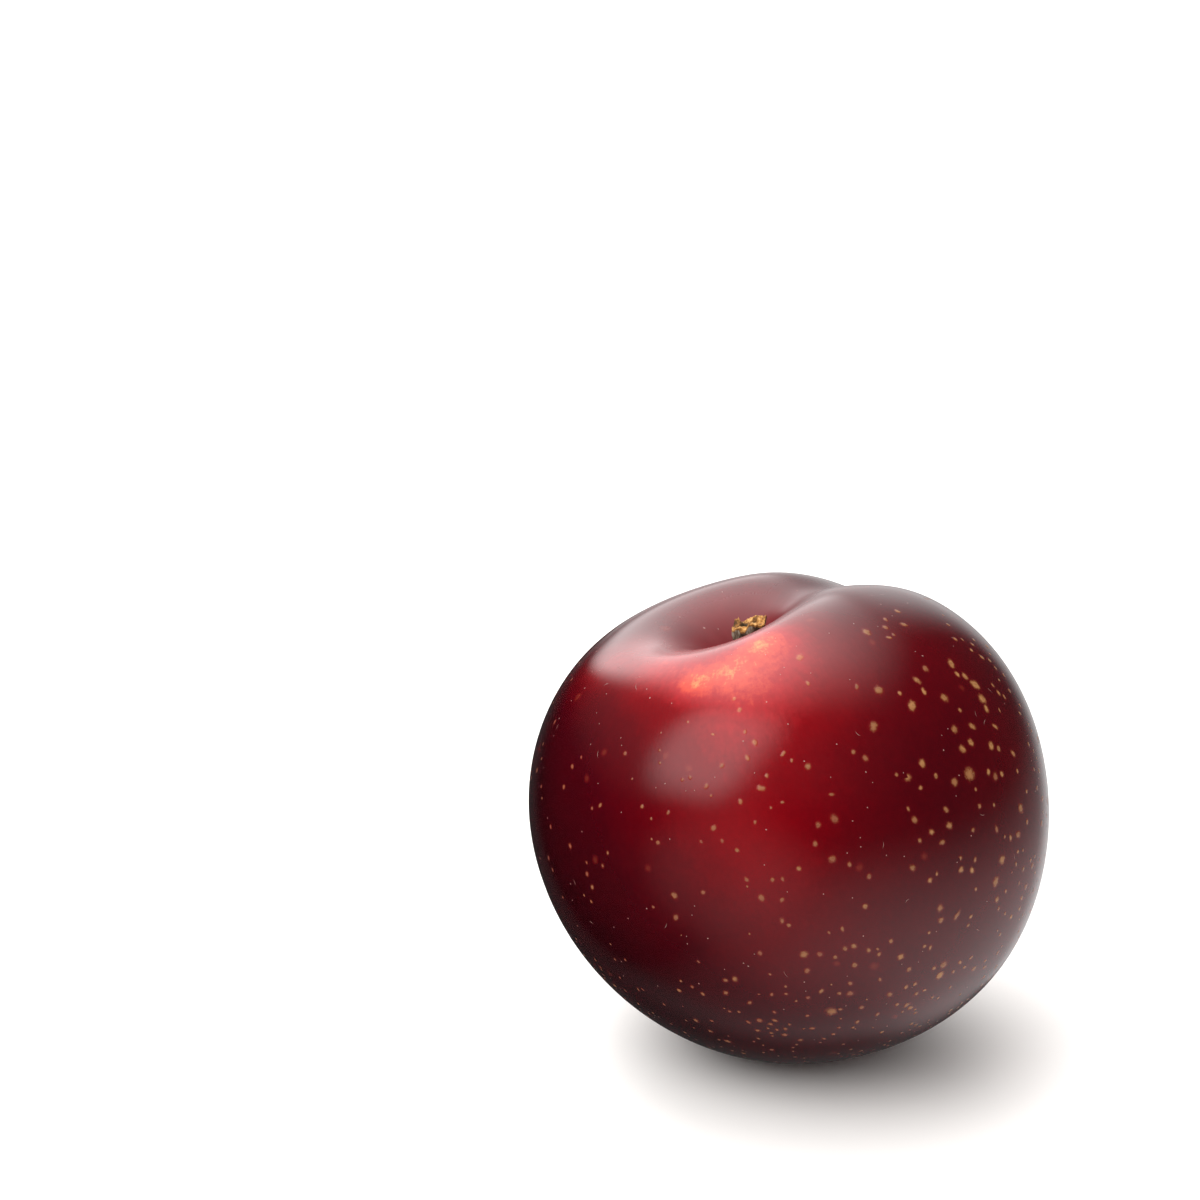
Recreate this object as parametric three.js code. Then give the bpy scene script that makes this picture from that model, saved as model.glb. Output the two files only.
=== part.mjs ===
// A ripe red plum with the broken stub of its stalk, as picked and set down.
// Millimetres, +Z up. The origin is the middle of the small flat spot that the fruit rests on.

import * as THREE from "three";
import { mergeVertices } from "three/addons/utils/BufferGeometryUtils.js";

const RADIANS = Math.PI / 180;

// The fruit's body, measured from its centre along its own axis, stalk end up
const HALF_WIDTH = 30.7;
const HALF_DEPTH = 30.3;
const HALF_HEIGHT = 29.7;
const FULLNESS = 2.07; // 2 is an ellipsoid, more is squarer
const TAPER = 2.4; // wider above the middle and narrower below it
const SKEW = 1.0; // fuller at the upper left and lower right

// A slight hollow in the top of the right lobe
const DIP_DEPTH = 0.95;
const DIP_POLAR = 28 * RADIANS;
const DIP_AZIMUTH = 11 * RADIANS;
const DIP_SPREAD = 0.06;

// Gentle unevenness all over
const RIPPLE_HEIGHT = 0.15;
const RIPPLE_WAVES_X = 4.3;
const RIPPLE_WAVES_Y = 4.9;
const RIPPLE_DRIFT_X = 2.9;
const RIPPLE_DRIFT_Y = 2.3;
const RIPPLE_START_X = 0.8;
const RIPPLE_START_Y = 1.9;

// The cavity that the stalk stands in: a flat seat, then a funnel, more open at the left
const CAVITY_DEPTH = 9.7;
const SEAT_RADIUS = 2.4;
const CAVITY_REACH = 5.9;
const CAVITY_CURVE = 1.43;
const CAVITY_OPENING = 0.36;
const CAVITY_OPEN_SIDE = 176 * RADIANS;

// The suture, a groove from the cavity down one side. Angles are from the stalk end.
const SUTURE_AZIMUTH = 43 * RADIANS;
const SUTURE_DEPTH = 2.4;
const SUTURE_WIDTH = 5.7;
const SUTURE_NARROWING = 0.5; // share of the width lost on the way down
const SUTURE_NARROW_FROM = 0.5;
const SUTURE_NARROW_TO = 1.8;
const SUTURE_START = 0.35;
const SUTURE_DEEP_UNTIL = 0.45;
const SUTURE_FAINT_FROM = 1.75;
const SUTURE_TAIL = 0.14; // share of the depth left in the faint part
const SUTURE_TAIL_UNTIL = 2.2;
const SUTURE_END = 3.0;
const SUTURE_SIDE_FROM = -0.1;
const SUTURE_SIDE_FULL = 0.5;

// How the fruit lies: the stalk end leans over, and the skin is pressed flat where it rests
const LEAN = 15.2 * RADIANS;
const LEAN_AZIMUTH = 184 * RADIANS;
const CENTRE_X = -1.12;
const CENTRE_Y = -0.08;
const CENTRE_HEIGHT = 29.0;

// The broken stub of the stalk, from its foot up
const STUB_CLEARANCE = 0.3;
const STUB_HEIGHT = 4.6;
const STUB_FOOT_RADIUS = 1.85;
const STUB_WAIST_RADIUS = 1.62;
const STUB_TOP_RADIUS = 2.0;
const STUB_WAIST_SHARE = 0.5; // how far up the narrowest part is
const STUB_WALL = 0.6;
const STUB_CORE_RADIUS = 0.9;
const STUB_CORE_DEPTH = 1.3;
const STUB_LIP = 0.12;
const STUB_OVAL = 0.05;
const STUB_BEND = 0.55;
const STUB_RIDGES = 9;
const STUB_RIDGE_HEIGHT = 0.05;
const STUB_JAG_FROM = 0.6; // the break is jagged above this share of the height
const STUB_JAG_WAVES = [
  { count: 3, height: 0.2, start: 0.4 },
  { count: 5, height: 0.18, start: 2.1 },
  { count: 8, height: 0.12, start: 1.0 },
];

// Fineness of the faceted solids
const FRUIT_DETAIL = 16;
const STALK_END_GATHER = 0.45; // how much closer the corners lie at the stalk end
const STUB_SIDES = 30;
const STUB_WALL_ROWS = 7;

const SKIN_COLOUR = 0x6a0f1e;
const SKIN_ROUGHNESS = 0.32;
const STALK_COLOUR = 0x7a5a30;
const STALK_ROUGHNESS = 0.85;

const DIP_DIRECTION = sphereDirection(DIP_POLAR, DIP_AZIMUTH);
const LEAN_AXIS = new THREE.Vector3(-Math.sin(LEAN_AZIMUTH), Math.cos(LEAN_AZIMUTH), 0);
const LEAN_TURN = new THREE.Quaternion().setFromAxisAngle(LEAN_AXIS, LEAN);
const CENTRE = new THREE.Vector3(CENTRE_X, CENTRE_Y, CENTRE_HEIGHT);

// Unit direction from its angle off the fruit's own axis and its azimuth about it
function sphereDirection(polar, azimuth) {
  const out = Math.sin(polar);
  return new THREE.Vector3(out * Math.cos(azimuth), out * Math.sin(azimuth), Math.cos(polar));
}

// 0 at the first value, 1 at the second and a smooth step between them, in either order
function ramp(from, to, value) {
  const share = THREE.MathUtils.clamp((value - from) / (to - from), 0, 1);
  return share * share * (3 - 2 * share);
}

// Distance from the fruit's centre to its plump body, before the cavity and the suture
function bodyRadius({ x, y, z }) {
  const full =
    (Math.abs(x) / HALF_WIDTH) ** FULLNESS +
    (Math.abs(y) / HALF_DEPTH) ** FULLNESS +
    (Math.abs(z) / HALF_HEIGHT) ** FULLNESS;
  const shape = full ** (-1 / FULLNESS) + TAPER * z * (x * x + y * y) - SKEW * x * z;
  const towardsDip = DIP_DIRECTION.x * x + DIP_DIRECTION.y * y + DIP_DIRECTION.z * z;
  const dip = DIP_DEPTH * Math.exp((towardsDip - 1) / DIP_SPREAD);
  const rippleX = Math.sin(RIPPLE_WAVES_X * x + RIPPLE_DRIFT_X * z + RIPPLE_START_X);
  const rippleY = Math.sin(RIPPLE_WAVES_Y * y - RIPPLE_DRIFT_Y * z + RIPPLE_START_Y);
  return shape - dip + RIPPLE_HEIGHT * rippleX * rippleY;
}

// Depth of the stalk cavity at a distance from the fruit's axis, in its upper half only
function cavityDepth(polar, azimuth, fromAxis) {
  if (polar >= Math.PI / 2) return 0;
  const reach = CAVITY_REACH * (1 + CAVITY_OPENING * Math.cos(azimuth - CAVITY_OPEN_SIDE));
  const beyondSeat = Math.max(fromAxis - SEAT_RADIUS, 0) / reach;
  return CAVITY_DEPTH * Math.exp(-(beyondSeat ** CAVITY_CURVE));
}

// Depth of the suture, which starts in the cavity, narrows and grows faint on the way down
function sutureDepth(polar, azimuth, fromAxis) {
  const away = azimuth - SUTURE_AZIMUTH;
  const narrowed = SUTURE_NARROWING * ramp(SUTURE_NARROW_FROM, SUTURE_NARROW_TO, polar);
  const across = (fromAxis * Math.sin(away)) / (SUTURE_WIDTH * (1 - narrowed));
  const deep = (1 - SUTURE_TAIL) * ramp(SUTURE_FAINT_FROM, SUTURE_DEEP_UNTIL, polar);
  const faint = SUTURE_TAIL * ramp(SUTURE_END, SUTURE_TAIL_UNTIL, polar);
  const along = ramp(0, SUTURE_START, polar) * (deep + faint);
  const oneSide = ramp(SUTURE_SIDE_FROM, SUTURE_SIDE_FULL, Math.cos(away));
  return SUTURE_DEPTH * Math.exp(-across * across) * along * oneSide;
}

// Distance from the fruit's centre to its skin
function skinRadius(polar, azimuth) {
  const body = bodyRadius(sphereDirection(polar, azimuth));
  const fromAxis = body * Math.sin(polar);
  return body - cavityDepth(polar, azimuth, fromAxis) - sutureDepth(polar, azimuth, fromAxis);
}

// A closed mesh with shared corners, each moved by a function of its place
function reshaped(geometry, move) {
  geometry.deleteAttribute("normal");
  geometry.deleteAttribute("uv");
  const merged = mergeVertices(geometry);
  const places = merged.attributes.position;
  const place = new THREE.Vector3();
  for (let corner = 0; corner < places.count; corner += 1) {
    place.fromBufferAttribute(places, corner);
    move(place);
    places.setXYZ(corner, place.x, place.y, place.z);
  }
  merged.computeVertexNormals();
  return merged;
}

// The fruit, skin and flesh in one piece: leaned over, set down and flat where it rests
function fruitMesh() {
  const geometry = reshaped(new THREE.IcosahedronGeometry(1, FRUIT_DETAIL), (place) => {
    const even = Math.acos(THREE.MathUtils.clamp(place.z, -1, 1));
    const gather = (STALK_END_GATHER * (1 + Math.cos(even))) / 2;
    const polar = even - gather * Math.sin(even);
    const azimuth = Math.atan2(place.y, place.x);
    place.copy(sphereDirection(polar, azimuth)).multiplyScalar(skinRadius(polar, azimuth));
    place.applyQuaternion(LEAN_TURN).add(CENTRE);
    place.z = Math.max(place.z, 0);
  });
  const material = new THREE.MeshStandardMaterial({
    color: SKIN_COLOUR,
    roughness: SKIN_ROUGHNESS,
    metalness: 0,
  });
  const mesh = new THREE.Mesh(geometry, material);
  mesh.name = "plum_fruit";
  return mesh;
}

// Outer radius of the stub at a height: a spread foot, a waist and a wider broken top
function stubRadius(height) {
  const waist = STUB_WAIST_SHARE * STUB_HEIGHT;
  const below = ramp(waist, 0, height) * (STUB_FOOT_RADIUS - STUB_WAIST_RADIUS);
  const above = ramp(waist, STUB_HEIGHT, height) * (STUB_TOP_RADIUS - STUB_WAIST_RADIUS);
  return STUB_WAIST_RADIUS + below + above;
}

// How far the break stands above or below its mean height, all the way round
function jag(azimuth) {
  let height = 0;
  for (const wave of STUB_JAG_WAVES) {
    height += wave.height * Math.sin(wave.count * azimuth + wave.start);
  }
  return height;
}

// Half section of the stub from the middle of its foot to the middle of its hollow core
function stubProfile() {
  const points = [new THREE.Vector2(0, 0)];
  for (let row = 0; row <= STUB_WALL_ROWS; row += 1) {
    const height = (STUB_HEIGHT * row) / STUB_WALL_ROWS;
    points.push(new THREE.Vector2(stubRadius(height), height));
  }
  points.push(new THREE.Vector2(STUB_TOP_RADIUS - STUB_WALL, STUB_HEIGHT - STUB_LIP));
  points.push(new THREE.Vector2(STUB_CORE_RADIUS, STUB_HEIGHT - STUB_CORE_DEPTH));
  points.push(new THREE.Vector2(0, STUB_HEIGHT - STUB_CORE_DEPTH));
  return points;
}

// The stalk's stub: ridged bark, a slight bend, a jagged break and a hollow core
function stubMesh() {
  const turned = new THREE.LatheGeometry(stubProfile(), STUB_SIDES);
  turned.rotateX(Math.PI / 2);
  const geometry = reshaped(turned, (place) => {
    const azimuth = Math.atan2(place.y, place.x);
    const share = place.z / STUB_HEIGHT;
    const ridge = 1 + STUB_RIDGE_HEIGHT * Math.cos(STUB_RIDGES * azimuth);
    place.x = place.x * ridge * (1 + STUB_OVAL) + STUB_BEND * share * share;
    place.y = place.y * ridge * (1 - STUB_OVAL);
    place.z += jag(azimuth) * ramp(STUB_JAG_FROM, 1, share);
  });
  const material = new THREE.MeshStandardMaterial({
    color: STALK_COLOUR,
    roughness: STALK_ROUGHNESS,
    metalness: 0,
  });
  const mesh = new THREE.Mesh(geometry, material);
  mesh.name = "stem_stub";
  mesh.position.set(0, 0, skinRadius(0, 0) + STUB_CLEARANCE);
  return mesh;
}

// The stub stands in the fruit's own leaned frame, and the fruit is already set down
function plum() {
  const leaned = new THREE.Group();
  leaned.position.copy(CENTRE);
  leaned.quaternion.copy(LEAN_TURN);
  leaned.add(stubMesh());
  const whole = new THREE.Group();
  whole.add(fruitMesh(), leaned);
  return whole;
}

export default plum();
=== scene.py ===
"""A ripe red plum with the broken stub of its stalk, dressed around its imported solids."""

import math
import random

import bpy
import numpy as np
from bpy.props import FloatProperty, FloatVectorProperty, IntProperty, PointerProperty
from bpy.types import Operator, Panel, PropertyGroup
from mathutils import Matrix, Vector, noise
from mathutils.kdtree import KDTree


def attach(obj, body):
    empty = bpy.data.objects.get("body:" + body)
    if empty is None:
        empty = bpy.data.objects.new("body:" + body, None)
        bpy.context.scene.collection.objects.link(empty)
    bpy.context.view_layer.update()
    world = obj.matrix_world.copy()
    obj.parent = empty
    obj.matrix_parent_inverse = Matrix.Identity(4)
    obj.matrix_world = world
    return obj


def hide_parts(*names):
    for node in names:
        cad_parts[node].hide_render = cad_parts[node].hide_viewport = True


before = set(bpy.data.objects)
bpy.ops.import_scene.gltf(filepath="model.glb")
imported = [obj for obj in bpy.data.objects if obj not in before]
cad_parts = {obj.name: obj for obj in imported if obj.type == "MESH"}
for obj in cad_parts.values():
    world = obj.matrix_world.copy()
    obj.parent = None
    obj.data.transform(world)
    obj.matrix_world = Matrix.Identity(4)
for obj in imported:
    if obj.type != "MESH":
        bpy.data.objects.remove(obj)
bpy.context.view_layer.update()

bl_info = {
    "name": "Red plum",
    "version": (1, 0, 0),
    "blender": (4, 5, 0),
    "location": "View3D > Sidebar > Plum",
    "description": "Builds a ripe red plum, its broken stalk and a plain stage",
    "category": "Add Mesh",
}

MM = 0.001

# The fruit's form, repeated from the solids: its body, from the centre along its own axis
FULLNESS = 2.07
TAPER = 2.4 * MM
SKEW = 1.0 * MM
DIP_DEPTH = 0.95 * MM
DIP_POLAR = math.radians(28)
DIP_AZIMUTH = math.radians(11)
DIP_SPREAD = 0.06
RIPPLE_HEIGHT = 0.15 * MM
RIPPLE_WAVES = (4.3, 4.9)
RIPPLE_DRIFT = (2.9, -2.3)
RIPPLE_START = (0.8, 1.9)

# The stalk's cavity and the suture
SEAT_RADIUS = 2.4 * MM
CAVITY_REACH = 5.9 * MM
CAVITY_CURVE = 1.43
CAVITY_OPENING = 0.36
CAVITY_OPEN_SIDE = math.radians(176)
SUTURE_AZIMUTH = math.radians(43)
SUTURE_WIDTH = 5.7 * MM
SUTURE_NARROWING = 0.5
SUTURE_NARROW = (0.5, 1.8)
SUTURE_START = 0.35
SUTURE_DEEP = (0.45, 1.75)
SUTURE_TAIL = 0.14
SUTURE_TAIL_END = (2.2, 3.0)
SUTURE_SIDE = (-0.1, 0.5)

# How the fruit lies
LEAN = math.radians(15.2)
LEAN_AZIMUTH = math.radians(184)
CENTRE = Vector((-1.12 * MM, -0.08 * MM, 29.0 * MM))
LEAN_AXIS = Vector((-math.sin(LEAN_AZIMUTH), math.cos(LEAN_AZIMUTH), 0))
LEAN_TURN = Matrix.Rotation(LEAN, 3, LEAN_AXIS)

# The broken stalk, from its foot up
STALK_CLEARANCE = 0.3 * MM
STALK_WAIST_SHARE = 0.5
STALK_OVAL = 0.05
STALK_BEND = 0.95 * MM
STALK_RIDGES = 9
STALK_RIDGE_HEIGHT = 0.05
STALK_JAG_FROM = 0.6
STALK_JAG_WAVES = ((3, 0.2, 0.4), (5, 0.18, 2.1), (8, 0.12, 1.0))
STALK_AROUND = 150
STALK_ROWS = 64
STALK_TOP_RINGS = 34
STALK_FOOT_RINGS = 4
STALK_TORN_FROM = 0.96
BREAK_FROM = 0.9

# Relief of the bark and the break in millimetres. Fibres, flakes and rags: how fast they change
# round the stalk and up it, their size and their octaves
CLOUD_FALL = 0.8
CLOUD_STEP = 2.1
FIBRES = (1.9, 0.16, 0.33, 5)
FIBRE_HEIGHT = 0.07
FIBRE_HEIGHT_AT_RIM = 0.13
FLAKES = (1.7, 0.9, 0.9, 3)
FLAKE_HEIGHT = 0.06
RAGS = (2, 0, 0.5, 4)
RAG_HEIGHT = 0.20
LUMP_SIZE = 0.9
LUMP_HEIGHT = 0.30
LUMP_LAYER = 3.0
SHRED_SIZE = 0.5
SHRED_HEIGHT = 0.16
SHRED_STRETCH = (0.6, 2.2)
SHRED_LAYER = 9.0
PITS = ((-0.62, 0.05, 0.55, 1.15), (0.50, 0.30, 0.42, 0.85), (0.05, -0.75, 0.30, 0.45))
PIT_STEEPNESS = 1.5
PIT_RIM = (0.98, 0.7)

# The slivers of torn wood: lengths and widths in millimetres
SPLINTERS = 24
SPLINTER_SEED = 7
SPLINTER_PLACE = (0.62, 0.96)
SPLINTER_LENGTH = (0.12, 0.42)
SPLINTER_WIDTH = (0.06, 0.14)
SPLINTER_FLATNESS = 0.45
SPLINTER_TURN = 0.7
SPLINTER_TILT = (0.2, 1.1)
SPLINTER_CURL = 0.12
SPLINTER_ROOT = 0.12 * MM
SPLINTER_STEPS = 4
SPLINTER_TAPER = 0.85
SPLINTER_RELIEF = 0.2

# Meshes and their texture squares
STALK_END_GATHER = 0.30
TIP_GATHER = 0.30
JOIN_GRID = 1e6
TILE_MARGIN = 0.004
BAKE_MAP = "OFBake"

# The dry point at the far end, where the flower was
TIP_DENT = 0.35 * MM
TIP_RADIUS = 1.3 * MM

# Rough skin at both ends, and the wax that stays in the hollows
SCAR_DEPTH = 0.8
STALK_SCAR = (3.2 * MM, 2.3 * MM)
TIP_SCAR = (1.1 * MM, 0.3 * MM)
CAVITY_WAX = (12 * MM, 7 * MM)
SUTURE_WAX = (20 * MM, 14 * MM)
SUTURE_WAX_WIDTH = 5 * MM

# The blush, as soft patches: angle from the stalk end, azimuth, spread and change. Some patches
# also paint light and shade into the skin: the lighter patch on the left shoulder is partly painted
# sheen, and the darker patches down the left side are partly painted shade.
BLUSH_MEAN = 0.822
BLUSH_SHADE_AND_SHEEN_PATCHES = (
    (32.74, 271.8, 0.0423, -0.275),
    (68, 274.5, 0.324, -0.945),
    (29.85, 228.1, 0.0141, -0.29),
    # Darker down the left side: partly the skin's own blush, partly painted shade
    (89.89, 230.7, 0.44, 0.402),
    (9.504, 104.5, 0.0666, -0.335),
    (72.89, 292.2, 0.166, 0.574),
    (120, 341.6, 0.169, -0.138),
    # Darker on the left flank: partly the skin's own blush, partly painted shade
    (66.53, 175.1, 0.0428, 0.385),
    # Lighter on the left shoulder: partly the skin's own blush, partly painted sheen
    (31.13, 191.7, 0.022, -0.372),
    (92.0, 70.0, 0.22, -0.14),
    (27.0, 281.0, 0.0048, -0.19),
    (33.0, 262.0, 0.0034, -0.12),
    (35.5, 249.0, 0.0026, -0.22),
)

# Marks on the skin: the tone says what kind each one is. Patches are as for the blush, and the
# lenticels' radii are in millimetres
LENTICEL_SEED = 31
LENTICEL_FREE = (0.55, 1.05)
LENTICEL_SHARE = 0.29
LENTICEL_SHARE_PATCHES = (
    (66, 328, 0.15, 0.42),
    (136, 280, 0.20, 0.68),
    (100, 110, 0.5, 0.30),
    (58, 215, 0.18, -0.18),
    (60, 258, 0.05, 0.22),
    (110, 325, 0.08, 0.16),
    (80, 288, 0.08, -0.10),
)
LENTICEL_RADIUS = 0.22
LENTICEL_RADIUS_PATCHES = (
    (56, 320, 0.11, 0.17),
    (100, 290, 0.15, 0.06),
    (66, 212, 0.25, -0.03),
    (110, 305, 0.08, 0.05),
)
LENTICEL_SHRINK = 0.03
LENTICEL_SMALLER_BELOW = (1.8, 2.6)
LENTICEL_RADIUS_SPREAD = 0.27
LENTICEL_RADIUS_LIMIT = 2
LENTICEL_TONE = 0.20
LENTICEL_TONE_PATCHES = (
    (62, 330, 0.14, 0.60),
    (122, 305, 0.30, 0.40),
)
LENTICEL_TONE_SPREAD = 0.14
OTHER_MARK_SHARE = 0.6
MARK_LENGTH_SPREAD = 0.25
MARK_WIDTH_SPREAD = 0.35
MARK_SPIN = 0.5
HAIR_SPIN = 1.5
MARK_GAP = 0.45 * MM
PALE_TONE = 2.0
BLUR_TONE = 3.0
HAIR_TONE = 4.0
PALE_RADIUS = 0.075 * MM
BLUR_RADIUS = 0.34 * MM
HAIR_LENGTH = 0.32 * MM
HAIR_WIDTH = 0.03 * MM

# Noises of the skin: scale, detail and roughness. Each sways the blush, by one depth or by one
# that goes with the blush itself
STREAK_LENGTH = 0.75
STREAKS = (44.0, 6.0, 0.65)
STREAK_SWAY = (0.6, 0.12, 0.10, 0.14)
MOTTLES = (90.0, 3.0, 0.55)
MOTTLE_SWAY = 0.16
FRECKLES = (1100.0, 3.0, 0.65)
FRECKLE_SWAY = (0.5, 0.15, 0.06, 0.24)
SMEARS = (60.0, 3.0, 0.6)
SMEAR_RANGE = (0.3, 0.7)
BRUSHING = (70.0, 1.0, 0.5)
BRUSHING_SWAY = 0.05
BRUSHING_DEPTH = 0.004 * MM
BRIGHT_SKIN = (0.5, 0.2)

# How a mark is drawn: edges are in its own radii
MARK_WARP = (2300.0, 1.0, 0.5)
SPOT_WARP = 0.8
HAIR_WARP = 0.2
HAIR_BEND = 3.0
SPOT_EDGE = (1.25, 0.25)
SPOT_STRENGTH = 0.95
SPOT_FADE_ON_BRIGHT = -0.3
SPOT_DEPTH = 0.03 * MM
SPOT_ROUGHNESS = 0.22
BLUR_FADE = -0.95
HALO_EDGE = (1.9, 0.6)
HALO_STRENGTH = 0.14
HALO_ROUND_BLURS = 0.04
GOLDEN_SHARE = 0.8
FLECK_NOISE = (0.52, 0.68)
FLECK_EDGE = (0.9, 0.2)
FLECK_STRENGTH = 0.45

# The skin's surface
GLOSS_CHANGE = 0.04
SCAR_ROUGHNESS = 0.35
WAX_ROUGHNESS = 0.20
WAX_TINT = 0.006
SHEEN_ROUGHNESS = 0.35
FLESH_WEIGHT = 0.06
FLESH_RADIUS = (0.0025, 0.0005, 0.0003)
REFRACTION = 1.45

# The stalk's surface
WOOD_FIBRES = (3.2, 4.0, 0.65)
WOOD_STRETCH = (1000.0, 1000.0, 160.0)
WOOD_SPECKS = (2600.0, 3.0, 0.6)
BARK_PATCHES = (700.0, 3.0, 0.6)
BARK_PATCH_SWAY = 0.9
TORN_NOISE = (1500.0, 4.0, 0.7)
TORN_NOISE_HEIGHT = 1.6
TORN_CONTRAST = 0.8
WOOD_ROUGHNESS = (0.3, 0.7, 0.62, 0.95)
FIBRE_DEPTH = 0.10 * MM
SPECK_DEPTH = 0.06 * MM

# The stage
FLOOR_RADIUS = 4.0
FLOOR_HEIGHT = -0.02 * MM
FLOOR_SIDES = 96
FLOOR_ROUGHNESS = 0.7
FLOOR_SPECULAR = 0.2
SENSOR = 36.0
CAMERA_PLACE = (-0.02417, -0.32813, 0.15366)

# The studio by direction: x to the right, y away from the camera and z up. Two numbers are a
# soft edge from dark to light, and four give its range of brightness too.
PANEL_LEAST_HEIGHT = 0.02
PANEL_SLANT = 0.30
PANEL_LEFT = (-0.80, -0.25)
PANEL_RIGHT = (0.78, -0.06)
PANEL_NEAR = (-0.495, 0.305)
PANEL_LOW = (0.03, 0.27)
HOT_PLACE = 0.34
HOT_LENGTH = 0.5
HOT_FALL = -5.24
HOT_GAIN = 0.76
WALL_PLACE = 0.10
WALL_SIDES = (0.42, 0.06)
WALL_NEAR = (0.2, 0.6)
WALL_LOW = (-0.18, 0.0)
BOX_WAY = Vector((-0.536, -0.451, 0.7135))
BOX_SIDE = Vector((0.643, -0.766, 0.0))
BOX_SQUEEZE = 1.16
BOX_SHIFT = 0.04
BOX_ROUNDING = 3.0
BOX_ROOT = 0.333
BOX_EDGE = (0.64, 0.23)
BOX_RISE = 0.214
BOX_LEAST_AHEAD = 0.05
BOX_AHEAD = (0.1, 0.3)
DARK_WAY = (0.02, 0.74, -0.67)
DARK_EDGE = (0.72, 0.95)
DARK_RIGHT = (0.55, 0.20)
DARK_GAIN = -0.88
GROUND_SLOPE = 0.85
GROUND_LEVEL = 0.48
GROUND_HORIZON = (0.05, -0.85, 0.04, 1.05)
GROUND_BELOW = (-1.0, -0.80, 0.70, 1.0)
SWEEP_WAY = (0.06, 0.955, -0.29)
SWEEP_EDGE = (0.78, 1.0)
SWEEP_PLACE = 0.23
SWEEP_SIDE = (-0.02, 0.04)
SWEEP_HEIGHT = (0.10, -0.40, 0.15, 0.80)
LOW_WAY = (-0.46, -0.86, -0.22)
LOW_EDGE = (0.78, 0.98)
LOW_STRENGTH = 0.30
HAZE_LEFT = (-0.04, -0.40)
HAZE_HIGH = (0.10, 0.55)
HAZE_STRENGTH = 0.18
FILL_WAY = (-0.70, -0.714, 0.0)
FILL_EDGE = (-0.4, 0.55, 0.20, 1.0)
FILL_HIGH = (0.16, 0.60)


def ramp(start, end, value):
    """0 at start, 1 at end and a smooth step between them, in either order."""
    share = np.clip((value - start) / (end - start), 0, 1)
    return share * share * (3 - 2 * share)


def sphere_direction(polar, azimuth):
    """Unit vector from its angle off the fruit's axis and its azimuth about it."""
    out = np.sin(polar)
    return np.stack([out * np.cos(azimuth), out * np.sin(azimuth), np.cos(polar)], -1)


def skin_radius(way, form):
    """Distance from the fruit's centre to its skin along unit vectors."""
    x, y, z = way[..., 0], way[..., 1], way[..., 2]
    full = (
        (np.abs(x) / form.half_width) ** FULLNESS
        + (np.abs(y) / form.half_depth) ** FULLNESS
        + (np.abs(z) / form.half_height) ** FULLNESS
    )
    body = full ** (-1 / FULLNESS) + TAPER * z * (x * x + y * y) - SKEW * x * z
    to_dip = way @ sphere_direction(DIP_POLAR, DIP_AZIMUTH)
    body -= DIP_DEPTH * np.exp((to_dip - 1) / DIP_SPREAD)
    ripple_x = np.sin(RIPPLE_WAVES[0] * x + RIPPLE_DRIFT[0] * z + RIPPLE_START[0])
    ripple_y = np.sin(RIPPLE_WAVES[1] * y + RIPPLE_DRIFT[1] * z + RIPPLE_START[1])
    body += RIPPLE_HEIGHT * ripple_x * ripple_y

    polar = np.arccos(np.clip(z, -1, 1))
    azimuth = np.arctan2(y, x)
    from_axis = body * np.sin(polar)
    open_side = 1 + CAVITY_OPENING * np.cos(azimuth - CAVITY_OPEN_SIDE)
    beyond_seat = np.maximum(from_axis - SEAT_RADIUS, 0) / (CAVITY_REACH * open_side)
    cavity = form.cavity_depth * np.exp(-(beyond_seat**CAVITY_CURVE))
    cavity = np.where(polar < math.pi / 2, cavity, 0)

    away = azimuth - SUTURE_AZIMUTH
    narrowed = SUTURE_NARROWING * ramp(*SUTURE_NARROW, polar)
    across = from_axis * np.sin(away) / (SUTURE_WIDTH * (1 - narrowed))
    deep = (1 - SUTURE_TAIL) * ramp(SUTURE_DEEP[1], SUTURE_DEEP[0], polar)
    faint = SUTURE_TAIL * ramp(SUTURE_TAIL_END[1], SUTURE_TAIL_END[0], polar)
    along = ramp(0, SUTURE_START, polar) * (deep + faint)
    one_side = ramp(*SUTURE_SIDE, np.cos(away))
    suture = form.suture_depth * np.exp(-across * across) * along * one_side
    return body - cavity - suture


def set_down(points):
    """Points of the fruit's own frame, leaned over and pressed flat where they rest."""
    placed = points @ np.array(LEAN_TURN).T + np.array(CENTRE)
    placed[:, 2] = np.maximum(placed[:, 2], 0)
    return placed


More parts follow.
